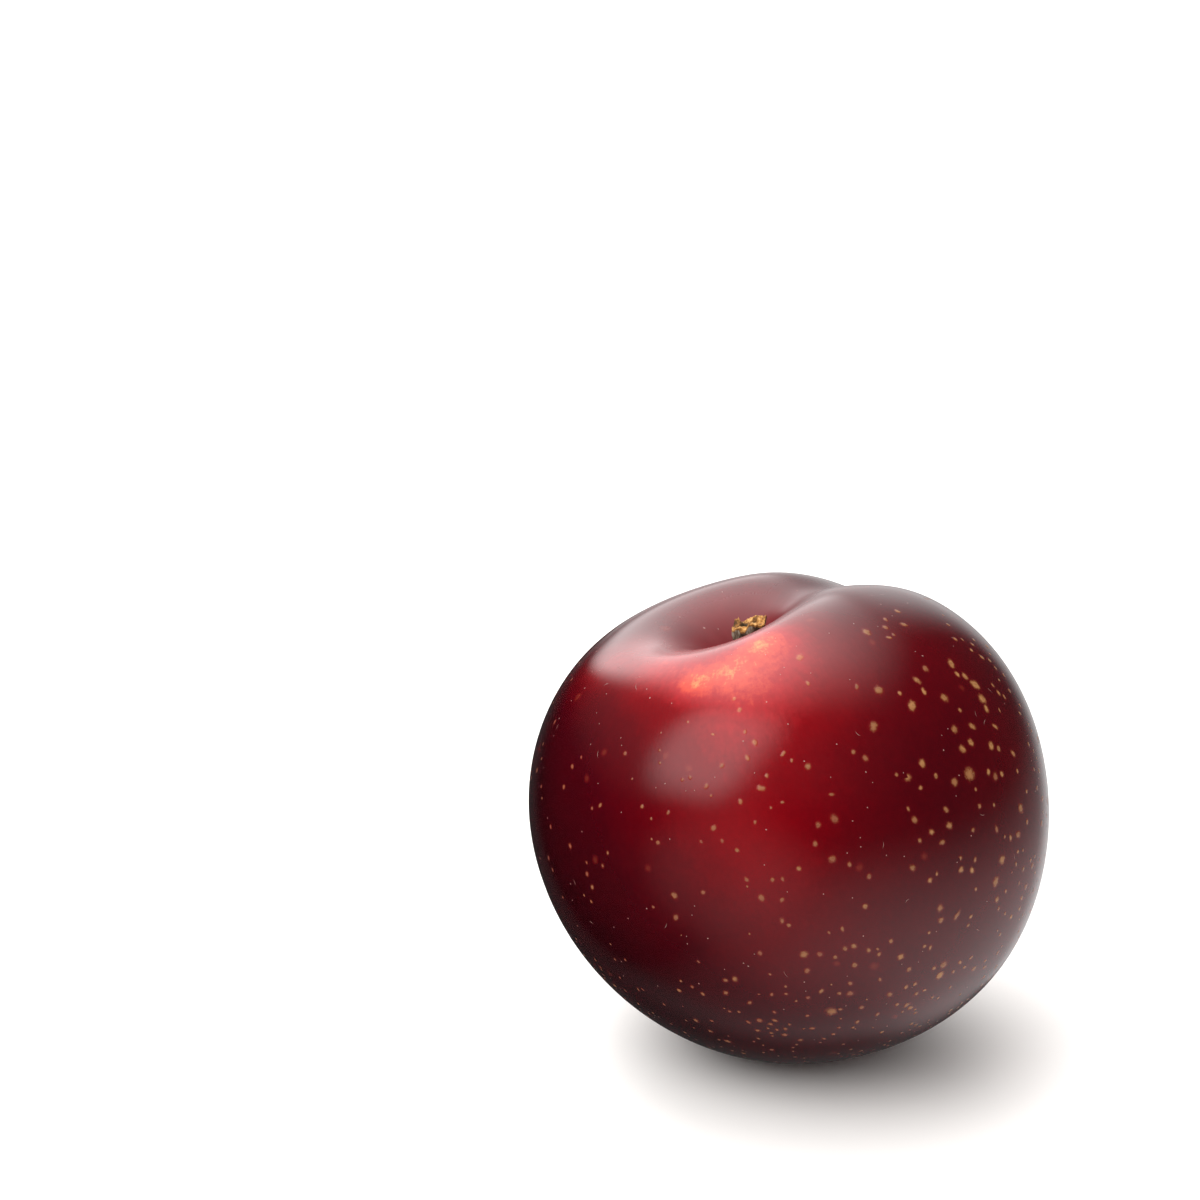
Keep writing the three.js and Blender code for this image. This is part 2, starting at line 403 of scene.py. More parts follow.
def cube_sphere(cells):
    """Unit vectors, four-sided faces and texture corners of a cube swollen into a sphere.

    The corners lie closer together at both ends of the fruit, and each side of the cube
    has a square of the texture to itself.
    """
    step = np.linspace(-1, 1, cells + 1)
    across, along = np.meshgrid(step, step, indexing="ij")
    bent = np.tan(np.stack([across, along], -1) * math.pi / 4)
    sides = []
    for axis in range(3):
        for sign in (1, -1):
            normal, first = np.zeros(3), np.zeros(3)
            normal[axis] = sign
            first[(axis + 1) % 3] = 1
            sides.append((normal, first, np.cross(normal, first)))

    ways, faces, corners = [], [], []
    row, column = np.meshgrid(np.arange(cells), np.arange(cells), indexing="ij")
    lower = (row * (cells + 1) + column).ravel()
    quad = np.stack([lower, lower + cells + 1, lower + cells + 2, lower + 1], -1)
    square = (np.stack([across, along], -1) + 1) / 2
    for number, (normal, first, second) in enumerate(sides):
        way = normal + bent[..., :1] * first + bent[..., 1:] * second
        ways.append((way / np.linalg.norm(way, axis=-1, keepdims=True)).reshape(-1, 3))
        faces.append(quad + number * (cells + 1) ** 2)
        tile = np.array([number % 3, number // 3])
        place = (tile + TILE_MARGIN + square * (1 - 2 * TILE_MARGIN)) / np.array([3, 2])
        corners.append(place.reshape(-1, 2)[quad])
    ways, faces = np.concatenate(ways), np.concatenate(faces)
    corners = np.concatenate(corners)

    _, kept, joined = np.unique(
        np.round(ways * JOIN_GRID).astype(int), axis=0, return_index=True, return_inverse=True
    )
    ways, faces = ways[kept], joined.reshape(-1)[faces]
    polar = np.arccos(np.clip(ways[:, 2], -1, 1))
    azimuth = np.arctan2(ways[:, 1], ways[:, 0])
    at_stalk = STALK_END_GATHER * (1 + np.cos(polar)) / 2
    at_tip = TIP_GATHER * (1 - np.cos(polar)) / 2
    polar = polar + np.sin(polar) * (at_tip - at_stalk)
    return sphere_direction(polar, azimuth), faces, corners


def mesh_object(name, points, faces, corners=None):
    """A smooth-shaded mesh object, with its texture corners in a map of their own when they are
    given.
    """
    mesh = bpy.data.meshes.new(name)
    mesh.from_pydata([tuple(p) for p in points], [], [tuple(f) for f in faces])
    mesh.validate()
    mesh.shade_smooth()
    if corners is not None:
        layer = mesh.uv_layers.new(name=BAKE_MAP)
        layer.data.foreach_set("uv", corners.astype(np.float32).ravel())
    made = bpy.data.objects.new(name, mesh)
    bpy.context.scene.collection.objects.link(made)
    return made


def store(mesh, name, kind, domain, values):
    """Keeps values on the mesh for its material to read."""
    key = "vector" if kind == "FLOAT_VECTOR" else "value"
    layer = mesh.attributes.new(name, kind, domain)
    layer.data.foreach_set(key, np.asarray(values, np.float32).ravel())


def patchy(way, mean, patches):
    """A mean that soft round patches of the skin raise or lower."""
    value = mean
    for polar, azimuth, spread, change in patches:
        middle = sphere_direction(math.radians(polar), math.radians(azimuth))
        value = value + change * np.exp((way @ middle - 1) / spread)
    return value


def lenticel_share(way):
    """How thickly the lenticels lie, from 0 to 1."""
    polar = np.arccos(np.clip(way[..., 2], -1, 1))
    share = patchy(way, LENTICEL_SHARE, LENTICEL_SHARE_PATCHES)
    return np.clip(share, 0, 1) * ramp(*LENTICEL_FREE, polar)


def lenticel_radius(way, chance):
    """Radius of a lenticel, larger on the upper right and smaller at the left and below."""
    polar = np.arccos(np.clip(way[..., 2], -1, 1))
    mean = patchy(way, LENTICEL_RADIUS, LENTICEL_RADIUS_PATCHES)
    mean = mean - LENTICEL_SHRINK * ramp(*LENTICEL_SMALLER_BELOW, polar)
    larger = LENTICEL_RADIUS_SPREAD * min(chance.gauss(0, 1), LENTICEL_RADIUS_LIMIT)
    return mean * math.exp(larger) * MM


def lenticel_tone(way, chance):
    """How light a lenticel is: 0 a dull red one, 1 a pale golden one."""
    mean = patchy(way, LENTICEL_TONE, LENTICEL_TONE_PATCHES)
    return min(max(mean + chance.gauss(0, LENTICEL_TONE_SPREAD), 0), 1)


def place_marks(form, look):
    """Seeded marks of every kind: middles, two axes across the skin, and tones."""
    chance = random.Random(LENTICEL_SEED)
    kinds = [None] * look.lenticels + [PALE_TONE] * look.pale_points
    kinds += [BLUR_TONE] * look.blurs + [HAIR_TONE] * look.hairs
    lengths = {PALE_TONE: PALE_RADIUS, BLUR_TONE: BLUR_RADIUS, HAIR_TONE: HAIR_LENGTH}
    middles, axes, tones, radii = [], [], [], []
    while len(middles) < len(kinds):
        kind = kinds[len(middles)]
        way = np.array([chance.gauss(0, 1) for _ in range(3)])
        way /= np.linalg.norm(way)
        if chance.random() > (OTHER_MARK_SHARE if kind else lenticel_share(way)):
            continue
        long = lengths.get(kind) or lenticel_radius(way, chance)
        long = long * (1 + abs(chance.gauss(0, MARK_LENGTH_SPREAD)))
        if kind == HAIR_TONE:
            wide, spin = HAIR_WIDTH, HAIR_SPIN
        else:
            wide, spin = long / (1 + abs(chance.gauss(0, MARK_WIDTH_SPREAD))), MARK_SPIN
        middle = way * skin_radius(way[None], form)[0]
        if middles:
            gaps = np.linalg.norm(np.array(middles) - middle, axis=1) - np.array(radii)
            if gaps.min() < long + MARK_GAP * chance.random():
                continue
        meridian = Vector(way).cross(Vector((0, 0, 1))).cross(Vector(way)).normalized()
        along = Matrix.Rotation(chance.gauss(0, spin), 3, Vector(way)) @ meridian
        across = Vector(way).cross(along)
        middles.append(middle)
        radii.append(long)
        axes.append((along / long, across / wide))
        tones.append(kind or lenticel_tone(way, chance))
    return np.array(middles), np.array(axes), np.array(tones)


def mark_corners(points, faces, marks):
    """For each face corner, where it lies from the nearest mark, in its radii, and its tone."""
    middles, axes, tones = marks
    tree = KDTree(len(middles))
    for number, middle in enumerate(middles):
        tree.insert(middle, number)
    tree.balance()
    nearest = np.array([tree.find(p)[1] for p in points[faces].mean(1)])
    away = points[faces] - middles[nearest][:, None]
    across = np.einsum("fcj,faj->fca", away, axes[nearest])
    tone = np.repeat(tones[nearest][:, None, None], faces.shape[1], axis=1)
    return np.concatenate([across, tone], -1)


def skin_tones(way):
    """How dark the blush is at each point, from ground colour 0 to nearly black 1, with the painted
    sheen and shade of its patches.
    """
    return np.clip(patchy(way, BLUSH_MEAN, BLUSH_SHADE_AND_SHEEN_PATCHES), 0, 1)


def scar_share(way, from_axis):
    """How rough the skin is round the stalk and at the dry tip."""
    at_stalk = ramp(*STALK_SCAR, from_axis) * (way[:, 2] > 0)
    at_tip = ramp(*TIP_SCAR, from_axis) * (way[:, 2] < 0)
    return (at_stalk + at_tip) * SCAR_DEPTH


def wax_share(way, own, from_axis):
    """How much wax stays in the cavity and in the suture beside it."""
    away = np.arctan2(own[:, 1], own[:, 0]) - SUTURE_AZIMUTH
    across = from_axis * np.sin(away) / SUTURE_WAX_WIDTH
    in_suture = np.exp(-across * across) * ramp(*SUTURE_WAX, from_axis) * (own[:, 0] > 0)
    return np.maximum(ramp(*CAVITY_WAX, from_axis), in_suture) * (way[:, 2] > 0)


def clouds(place, size, octaves=4):
    """Fractal noise between about -1 and 1 at a place in millimetres."""
    return noise.fractal(Vector(place) / size, CLOUD_FALL, CLOUD_STEP, octaves)


def bark(around, height, turn, rise, size, octaves):
    """Noise on the side of the stalk, drawn out by how fast it changes round it and up it."""
    place = (around[0] * turn, around[1] * turn, height / MM * rise)
    return clouds(place, size, octaves)


def stalk_radius(height, form):
    """Outer radius of the stalk at a height: a spread foot, a waist and a wider broken top."""
    waist = STALK_WAIST_SHARE * form.stalk_height
    below = ramp(waist, 0, height) * (form.stalk_foot - form.stalk_waist)
    above = ramp(waist, form.stalk_height, height) * (form.stalk_top - form.stalk_waist)
    return form.stalk_waist + below + above


def broken_top(x, y, share):
    """Relief of the break in millimetres: pits in the pith, and splintered wood round them."""
    shred = (x * SHRED_STRETCH[0], y * SHRED_STRETCH[1], SHRED_LAYER)
    relief = LUMP_HEIGHT * clouds((x, y, LUMP_LAYER), LUMP_SIZE)
    relief += SHRED_HEIGHT * abs(clouds(shred, SHRED_SIZE))
    for pit_x, pit_y, radius, depth in PITS:
        away = ((x - pit_x) ** 2 + (y - pit_y) ** 2) / radius**2
        relief -= depth * math.exp(-(away**PIT_STEEPNESS)) * float(ramp(*PIT_RIM, share))
    return relief


def stalk_rings(form):
    """Radius, height and place on the break of each ring, from the foot's middle to the top's."""
    rings = []
    for ring in range(1, STALK_FOOT_RINGS):
        rings.append((form.stalk_foot * ring / STALK_FOOT_RINGS, 0.0, -1.0))
    for row in range(STALK_ROWS + 1):
        height = form.stalk_height * row / STALK_ROWS
        rings.append((float(stalk_radius(height, form)), height, -1.0))
    for ring in range(1, STALK_TOP_RINGS):
        share = 1 - ring / STALK_TOP_RINGS
        rings.append((form.stalk_top * share, form.stalk_height, share))
    return rings


def stalk_point(ring, azimuth, form):
    """A point of the stalk in its own frame, and how deep it lies below the break."""
    radius, height, on_break = ring
    share = height / form.stalk_height
    around = (math.cos(azimuth), math.sin(azimuth))
    fibre = bark(around, height, *FIBRES)
    flake = bark(around, height, *FLAKES)
    out = radius * (1 + STALK_RIDGE_HEIGHT * math.cos(STALK_RIDGES * azimuth))
    if on_break < 0:
        in_foot = min(1.0, radius / (0.5 * form.stalk_foot))
        out += (FIBRE_HEIGHT * fibre + FLAKE_HEIGHT * flake) * MM * in_foot
    else:
        out += FIBRE_HEIGHT_AT_RIM * fibre * MM * on_break**4
    x = out * around[0] * (1 + STALK_OVAL)
    y = out * around[1] * (1 - STALK_OVAL)
    jag = sum(high * math.sin(count * azimuth + start) for count, high, start in STALK_JAG_WAVES)
    raggedness = jag + RAG_HEIGHT * bark(around, height, *RAGS)
    rise = raggedness * float(ramp(STALK_JAG_FROM, 1, share))
    relief = 0.0
    if on_break >= 0:
        relief = broken_top(x / MM, y / MM, on_break)
        rise = rise * on_break + relief
    else:
        rise += broken_top(x / MM, y / MM, 1.0) * float(ramp(BREAK_FROM, 1, share))
    return (x + STALK_BEND * share * share, y, height + rise * MM), relief


def stalk_mesh(form):
    """Points, faces and masks of the ragged stalk."""
    turns = np.linspace(0, 2 * math.pi, STALK_AROUND, endpoint=False)
    points, depth, on_top = [(0.0, 0.0, 0.0)], [0.0], [0.0]
    rings = stalk_rings(form)
    for ring in rings:
        for azimuth in turns:
            point, relief = stalk_point(ring, azimuth, form)
            points.append(point)
            depth.append(relief)
            torn = ring[2] >= 0 or ring[1] > STALK_TORN_FROM * form.stalk_height
            on_top.append(float(torn))
    middle, relief = stalk_point((0.0, form.stalk_height, 0.0), 0.0, form)
    points.append(middle)
    depth.append(relief)
    on_top.append(1.0)

    faces = []
    last = len(points) - 1
    for side in range(STALK_AROUND):
        after = (side + 1) % STALK_AROUND
        faces.append((0, 1 + after, 1 + side))
        for ring in range(len(rings) - 1):
            low, high = 1 + ring * STALK_AROUND, 1 + (ring + 1) * STALK_AROUND
            faces.append((low + side, low + after, high + after, high + side))
        top = 1 + (len(rings) - 1) * STALK_AROUND
        faces.append((top + side, top + after, last))
    return points, faces, depth, on_top


def splinters(form):
    """Seeded slivers of torn wood that stand round the break."""
    chance = random.Random(SPLINTER_SEED)
    points, faces = [], []
    for _ in range(SPLINTERS):
        azimuth = chance.uniform(0, 2 * math.pi)
        share = chance.uniform(*SPLINTER_PLACE)
        ring = (form.stalk_top * share, form.stalk_height, share)
        (x, y, z), _ = stalk_point(ring, azimuth, form)
        length = chance.uniform(*SPLINTER_LENGTH) * MM
        width = chance.uniform(*SPLINTER_WIDTH) * MM
        lean = azimuth + chance.gauss(0, SPLINTER_TURN)
        tilt = chance.uniform(*SPLINTER_TILT)
        way = Vector(sphere_direction(tilt, lean))
        side = way.cross(Vector((0, 0, 1))).normalized() * width
        flat = way.cross(side).normalized() * width * SPLINTER_FLATNESS
        curl = Vector([chance.gauss(0, 1) for _ in range(3)]) * SPLINTER_CURL * length
        first = len(points)
        foot = Vector((x, y, z - SPLINTER_ROOT))
        for step in range(SPLINTER_STEPS + 1):
            along = step / SPLINTER_STEPS
            thin = 1 - SPLINTER_TAPER * along * along
            middle = foot + way * length * along + curl * along * along
            for sign_a, sign_b in ((1, 0), (0, 1), (-1, 0), (0, -1)):
                points.append(tuple(middle + side * sign_a * thin + flat * sign_b * thin))
            if step:
                for corner in range(4):
                    after = (corner + 1) % 4
                    low, high = first + (step - 1) * 4, first + step * 4
                    faces.append((low + corner, low + after, high + after, high + corner))
        faces.append((first, first + 3, first + 2, first + 1))
        faces.append(tuple(first + 4 * SPLINTER_STEPS + corner for corner in range(4)))
    return points, faces


class Nodes:
    """Short ways to add and link the nodes of one material or world."""

    def __init__(self, made):
        made.use_nodes = True
        self.made = made
        self.tree = made.node_tree

    def surface(self, **values):
        """Sets or links the sockets of a material's own shader."""
        shader = self.tree.nodes["Principled BSDF"]
        for key, value in values.items():
            self.feed(shader.inputs[key.replace("_", " ")], value)

    def add(self, kind, inputs=(), **settings):
        """A node with its settings, and its sockets set to values or linked to other sockets."""
        node = self.tree.nodes.new("ShaderNode" + kind)
        for key, value in settings.items():
            setattr(node, key, value)
        for key, value in dict(inputs).items():
            self.feed(node.inputs[key], value)
        return node

    def feed(self, socket, value):
        """Links a socket to another one, or sets it to a plain value."""
        if isinstance(value, bpy.types.NodeSocket):
            self.tree.links.new(value, socket)
        else:
            socket.default_value = value

    def calc(self, operation, *values):
        """The result of a Math node."""
        return self.add("Math", dict(enumerate(values)), operation=operation).outputs[0]

    def times(self, first, *others):
        """Several values multiplied."""
        for other in others:
            first = self.calc("MULTIPLY", first, other)
        return first

    def plus(self, first, *others):
        """Several values added."""
        for other in others:
            first = self.calc("ADD", first, other)
        return first

    def sway(self, value, change, depth):
        """A value that goes up and down with a noise around one half."""
        return self.calc("MULTIPLY_ADD", self.calc("SUBTRACT", change, 0.5), depth, value)

    def level(self, value, start, end, low=0.0, high=1.0):
        """A smooth step of a value from one range to another."""
        inputs = {"Value": value, "From Min": start, "From Max": end, "To Min": low, "To Max": high}
        return self.add("MapRange", inputs, interpolation_type="SMOOTHSTEP").outputs[0]

    def rest(self, share):
        """What is left of one when a share is taken."""
        return self.calc("SUBTRACT", 1.0, share)

    def is_kind(self, tone, kind):
        """1 where a mark's tone says this kind or a higher one."""
        return self.level(tone, kind - 0.5, kind - 0.4)

    def parts(self, vector):
        """The three numbers of a vector."""
        return self.add("SeparateXYZ", {0: vector}).outputs

    def vector(self, x=0.0, y=0.0, z=0.0):
        """A vector of three numbers."""
        return self.add("CombineXYZ", {0: x, 1: y, 2: z}).outputs[0]

    def dot(self, first, second):
        """How far one vector goes along another."""
        inputs = {0: first, 1: second}
        return self.add("VectorMath", inputs, operation="DOT_PRODUCT").outputs["Value"]

    def length(self, vector):
        """The length of a vector."""
        return self.add("VectorMath", {0: vector}, operation="LENGTH").outputs["Value"]

    def blend(self, share, first, second):
        """One colour laid over another."""
        node = self.add("Mix", data_type="RGBA")
        for socket, value in ((0, share), (6, first), (7, second)):
            self.feed(node.inputs[socket], value)
        return node.outputs[2]

    def noise(self, place, scale, detail, roughness, output="Fac"):
        """Cloudy noise around one half."""
        inputs = {"Vector": place, "Scale": scale, "Detail": detail, "Roughness": roughness}
        return self.add("TexNoise", inputs).outputs[output]

    def ramp(self, value, stops):
        """A colour from a ramp of places and colours."""
        node = self.add("ValToRGB", {"Fac": value})
        while len(node.color_ramp.elements) < len(stops):
            node.color_ramp.elements.new(0.5)
        for element, (place, tint) in zip(node.color_ramp.elements, stops):
            element.position = place
            element.color = colour(tint)
        return node.outputs["Color"]

    def kept(self, name, output="Fac"):
        """Values that the mesh keeps under a name."""
        return self.add("Attribute", attribute_name=name).outputs[output]

    def dent(self, height, distance, normal=None):
        """A bump of a height, over another bump where one is given."""
        node = self.add("Bump", {"Height": height, "Distance": distance})
        if normal is not None:
            self.feed(node.inputs["Normal"], normal)
        return node.outputs["Normal"]


def colour(value):
    """A colour with its alpha."""
    return (*value, 1.0)


def skin_material(look):
    """Waxy plum skin: a streaked blush, soft lenticels, fine scratches and a film of bloom."""
    s = Nodes(bpy.data.materials.new("plum_skin"))
    place = s.add("TexCoord").outputs["Object"]
    x, y, z = s.parts(s.kept("own_way", "Vector"))
    around = s.add("VectorMath", {0: s.vector(x, y)}, operation="NORMALIZE").outputs[0]
    lengthwise = s.vector(z=s.times(z, STREAK_LENGTH))
    streak_place = s.add("VectorMath", {0: around, 1: lengthwise}, operation="ADD").outputs[0]

    # The blush tones hold painted shade down the left side and painted sheen on the left shoulder
    dark = s.kept("blush")
    bright = s.level(dark, *BRIGHT_SKIN)
    dark = s.sway(dark, s.noise(streak_place, *STREAKS), s.level(dark, *STREAK_SWAY))
    dark = s.sway(dark, s.noise(place, *MOTTLES), MOTTLE_SWAY)
    dark = s.sway(dark, s.noise(place, *FRECKLES), s.level(dark, *FRECKLE_SWAY))
    skin = s.ramp(dark, (
        (0.00, look.ground_colour),
        (0.12, look.flame_colour),
        (0.25, look.bright_colour),
        (0.42, look.red_colour),
        (0.60, look.deep_colour),
        (0.80, look.burgundy_colour),
        (1.00, look.dark_colour),
    ))

    across, along, tone = s.parts(s.kept("mark", "Vector"))
    shift = s.parts(s.noise(place, *MARK_WARP, output="Color"))
    hair = s.is_kind(tone, HAIR_TONE)
    blur = s.times(s.is_kind(tone, BLUR_TONE), s.rest(hair))
    pale = s.times(s.is_kind(tone, PALE_TONE), s.rest(blur))
    warp = s.calc("MULTIPLY_ADD", hair, HAIR_WARP - SPOT_WARP, SPOT_WARP)
    bend = s.times(hair, across, across, HAIR_BEND)
    across = s.sway(across, shift[0], warp)
    along = s.plus(s.sway(along, shift[1], warp), bend)
    away = s.length(s.vector(across, along))
    spot = s.times(s.level(away, *SPOT_EDGE), s.calc("MULTIPLY_ADD", blur, BLUR_FADE, 1.0))
    halo_share = s.calc("MULTIPLY_ADD", blur, HALO_ROUND_BLURS, HALO_STRENGTH)
    halo = s.times(s.level(away, *HALO_EDGE), halo_share)
    tan = s.ramp(tone, (
        (0.0, look.lenticel_red),
        (0.5, look.lenticel_colour),
        (1.0, look.lenticel_light),
    ))
    tan = s.blend(s.times(bright, GOLDEN_SHARE), tan, colour(look.lenticel_golden))
    flecks = s.times(s.level(shift[2], *FLECK_NOISE), s.level(away, *FLECK_EDGE), FLECK_STRENGTH)
    tan = s.blend(flecks, tan, colour(look.lenticel_brown))
    tan = s.blend(pale, tan, colour(look.pale_colour))
    spot_share = s.calc("MULTIPLY_ADD", bright, SPOT_FADE_ON_BRIGHT, SPOT_STRENGTH)
    wax, scar = s.kept("wax"), s.kept("scar")
    skin = s.blend(s.times(halo, s.rest(pale)), skin, colour(look.halo_colour))
    skin = s.blend(s.times(spot, spot_share), skin, tan)
    skin = s.blend(s.times(wax, WAX_TINT), skin, colour(look.bloom_colour))
    skin = s.blend(scar, skin, colour(look.scar_colour))

    brushed = s.noise(streak_place, *BRUSHING)
    smears = s.noise(place, *SMEARS)
    gloss = s.level(smears, *SMEAR_RANGE, look.gloss, look.gloss + GLOSS_CHANGE)
    rough = s.plus(
        s.sway(gloss, brushed, BRUSHING_SWAY),
        s.times(spot, SPOT_ROUGHNESS),
        s.times(scar, SCAR_ROUGHNESS),
        s.times(wax, WAX_ROUGHNESS),
    )
    s.surface(
        Base_Color=skin,
        Roughness=rough,
        Normal=s.dent(spot, SPOT_DEPTH, s.dent(brushed, BRUSHING_DEPTH)),
        IOR=REFRACTION,
        Subsurface_Weight=FLESH_WEIGHT,
        Subsurface_Radius=FLESH_RADIUS,
        Subsurface_Scale=1.0,
        Sheen_Weight=look.bloom,
        Sheen_Roughness=SHEEN_ROUGHNESS,
        Sheen_Tint=colour(look.bloom_colour),
    )
    return s.made


def stalk_material(look):
    """Dry broken stalk: golden torn wood on top, grey-brown fibrous bark down the side."""
    s = Nodes(bpy.data.materials.new("stalk_wood"))
    own = s.kept("own_place", "Vector")
    x, y, z = s.parts(own)
    drawn_out = [s.times(part, stretch) for part, stretch in zip((x, y, z), WOOD_STRETCH)]
    fibres = s.noise(s.vector(*drawn_out), *WOOD_FIBRES)
    specks = s.noise(own, *WOOD_SPECKS)
    patches = s.noise(own, *BARK_PATCHES)
    side = s.ramp(s.sway(fibres, patches, BARK_PATCH_SWAY), (
        (0.34, look.bark_dark),
        (0.50, look.bark_colour),
        (0.66, look.bark_light),
    ))
    relief = s.sway(s.kept("depth"), s.noise(own, *TORN_NOISE), TORN_NOISE_HEIGHT)
    torn = s.ramp(s.calc("MULTIPLY_ADD", relief, TORN_CONTRAST, 0.5), (
        (0.12, look.pith_colour),
        (0.36, look.wood_dark),
        (0.56, look.wood_colour),
        (0.82, look.wood_light),
    ))
    s.surface(
        Base_Color=s.blend(s.kept("torn"), side, torn),
        Roughness=s.level(specks, *WOOD_ROUGHNESS),
        Normal=s.dent(specks, SPECK_DEPTH, s.dent(fibres, FIBRE_DEPTH)),
        IOR=REFRACTION,
    )
    return s.made


class PlumForm(PropertyGroup):
    """Sizes of the fruit and its stalk."""

    half_width: FloatProperty(
        name="Half width", description="From the fruit's middle to its side",
        default=0.0307, unit="LENGTH",
    )
    half_depth: FloatProperty(
        name="Half depth", description="From the fruit's middle to its front",
        default=0.0303, unit="LENGTH",
    )
    half_height: FloatProperty(
        name="Half height", description="From the fruit's middle to its end",
        default=0.0297, unit="LENGTH",
    )
    cavity_depth: FloatProperty(
        name="Cavity depth", description="Depth of the hollow that the stalk stands in",
        default=0.0097, unit="LENGTH",
    )
    suture_depth: FloatProperty(
        name="Suture depth", description="Depth of the groove at the top",
        default=0.0024, unit="LENGTH",
    )
    stalk_height: FloatProperty(
        name="Stalk height", description="From the stalk's foot to its break",
        default=0.0046, unit="LENGTH",
    )
    stalk_foot: FloatProperty(
        name="Stalk foot", description="Radius where the stalk meets the fruit",
        default=0.00185, unit="LENGTH",
    )
    stalk_waist: FloatProperty(
        name="Stalk waist", description="Radius of the stalk's narrowest part",
        default=0.00162, unit="LENGTH",
    )
    stalk_top: FloatProperty(
        name="Stalk top", description="Radius of the stalk at its break",
        default=0.0020, unit="LENGTH",
    )
    cells: IntProperty(
        name="Cells", description="Mesh cells along each side of the swollen cube",
        default=96, min=8,
    )


def colour_setting(name, description, default):
    """A colour that a user may change."""
    return FloatVectorProperty(
        name=name, description=description, default=default,
        subtype="COLOR", size=3, min=0, max=1,
    )


class PlumLook(PropertyGroup):
    """Colours and marks of the skin and the stalk."""

    ground_colour: colour_setting("Ground", "Unblushed skin", (0.82, 0.30, 0.085))
    flame_colour: colour_setting("Flame", "Skin with a breath of blush", (0.52, 0.042, 0.018))
    bright_colour: colour_setting("Bright red", "Thin blush", (0.32, 0.004, 0.008))
    red_colour: colour_setting("Red", "Full blush", (0.165, 0.0003, 0.0028))
    deep_colour: colour_setting("Deep red", "Deep blush", (0.084, 0.0002, 0.0024))
    burgundy_colour: colour_setting("Burgundy", "Thick blush", (0.039, 0.0003, 0.0024))
    dark_colour: colour_setting("Dark", "Nearly black blush", (0.018, 0.0006, 0.0019))
    lenticel_red: colour_setting("Dull lenticels", "Reddest specks", (0.20, 0.044, 0.022))
    lenticel_colour: colour_setting("Lenticels", "Usual specks", (0.25, 0.10, 0.036))
    lenticel_light: colour_setting("Light lenticels", "Lightest specks", (0.37, 0.175, 0.060))
    lenticel_golden: colour_setting(
        "Golden lenticels", "Specks on bright skin", (0.52, 0.16, 0.042),
    )
    lenticel_brown: colour_setting("Brown flecks", "Flecks inside a speck", (0.13, 0.045, 0.015))
    pale_colour: colour_setting("Pale points", "Tiny pale points and hairs", (0.36, 0.20, 0.17))
    halo_colour: colour_setting("Halo", "Skin round a speck", (0.26, 0.012, 0.010))
    scar_colour: colour_setting("Scar", "Skin at the stalk's foot", (0.16, 0.07, 0.03))
    bloom_colour: colour_setting("Bloom", "Wax on the skin", (0.85, 0.72, 0.80))
    bark_dark: colour_setting("Dark bark", "Furrows of the stalk", (0.035, 0.020, 0.012))
    bark_colour: colour_setting("Bark", "Side of the stalk", (0.13, 0.09, 0.055))
    bark_light: colour_setting("Light bark", "Ridges of the stalk", (0.33, 0.28, 0.21))
    wood_dark: colour_setting("Dark wood", "Hollows of the break", (0.12, 0.048, 0.010))
    wood_colour: colour_setting("Wood", "Torn wood", (0.40, 0.175, 0.035))
    wood_light: colour_setting("Light wood", "Fresh edges of the break", (0.84, 0.50, 0.19))
    pith_colour: colour_setting("Pith", "Pits in the break", (0.045, 0.026, 0.008))
    gloss: FloatProperty(
        name="Gloss roughness", description="Roughness of clean skin", default=0.13, min=0, max=1,
    )
    bloom: FloatProperty(
        name="Bloom", description="How much wax lies on the skin", default=0.004, min=0, max=1,
    )
    lenticels: IntProperty(name="Lenticels", description="How many specks", default=1100, min=1)
    pale_points: IntProperty(name="Pale points", description="How many tiny points", default=420)
    blurs: IntProperty(name="Blurs", description="How many faint red specks", default=40)
    hairs: IntProperty(name="Hairs", description="How many fine pale scratches", default=80)


class PlumStage(PropertyGroup):
    """Lights, floor and camera."""

    floor_colour: colour_setting("Floor", "Colour of the floor", (0.94, 0.91, 0.885))
    backdrop: FloatProperty(
        name="Backdrop", description="Brightness of the surroundings", default=1.0, min=0,
    )
    overhead: FloatProperty(
        name="Overhead", description="Brightness of the panel above", default=2.44, min=0,
    )
    side: FloatProperty(
        name="Side light", description="Brightness of the soft box at the left", default=2.4, min=0,
    )
    glow: FloatProperty(
        name="Glow", description="Brightness of the pale wall behind", default=0.8, min=0,
    )
    fill: FloatProperty(
        name="Fill", description="Brightness of the soft fill from the front", default=2.1, min=0,
    )
    lens: FloatProperty(
        name="Lens", description="Focal length of the camera", default=87.7,
        subtype="DISTANCE_CAMERA",
    )
    pitch: FloatProperty(
        name="Pitch", description="How far the camera looks down", default=math.radians(16.6),
        subtype="ANGLE",
    )


class PLUM_OT_fruit(Operator):
    """Build the fruit and its skin"""

    bl_idname = "plum.fruit"
    bl_label = "Fruit"

    def execute(self, context):
        form, look = context.scene.plum_form, context.scene.plum_look
        way, faces, corners = cube_sphere(form.cells)
        own = way * skin_radius(way, form)[:, None]
        from_axis = np.linalg.norm(own[:, :2], axis=1)
        tip = np.exp(-((from_axis / TIP_RADIUS) ** 2)) * (way[:, 2] < 0)
        own += way * (-TIP_DENT * tip)[:, None]
        fruit = mesh_object("plum", set_down(own), faces, corners)
        mesh = fruit.data
        store(mesh, "own_way", "FLOAT_VECTOR", "POINT", way)
        # The blush tones hold painted shade down the left side and painted sheen on the left
        # shoulder
        store(mesh, "blush", "FLOAT", "POINT", skin_tones(way))
        marks = place_marks(form, look)
        store(mesh, "mark", "FLOAT_VECTOR", "CORNER", mark_corners(own, faces, marks))
        store(mesh, "scar", "FLOAT", "POINT", scar_share(way, from_axis))
        store(mesh, "wax", "FLOAT", "POINT", wax_share(way, own, from_axis))
        mesh.materials.append(skin_material(look))
        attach(fruit, "root")
        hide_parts("plum_fruit")
        return {"FINISHED"}


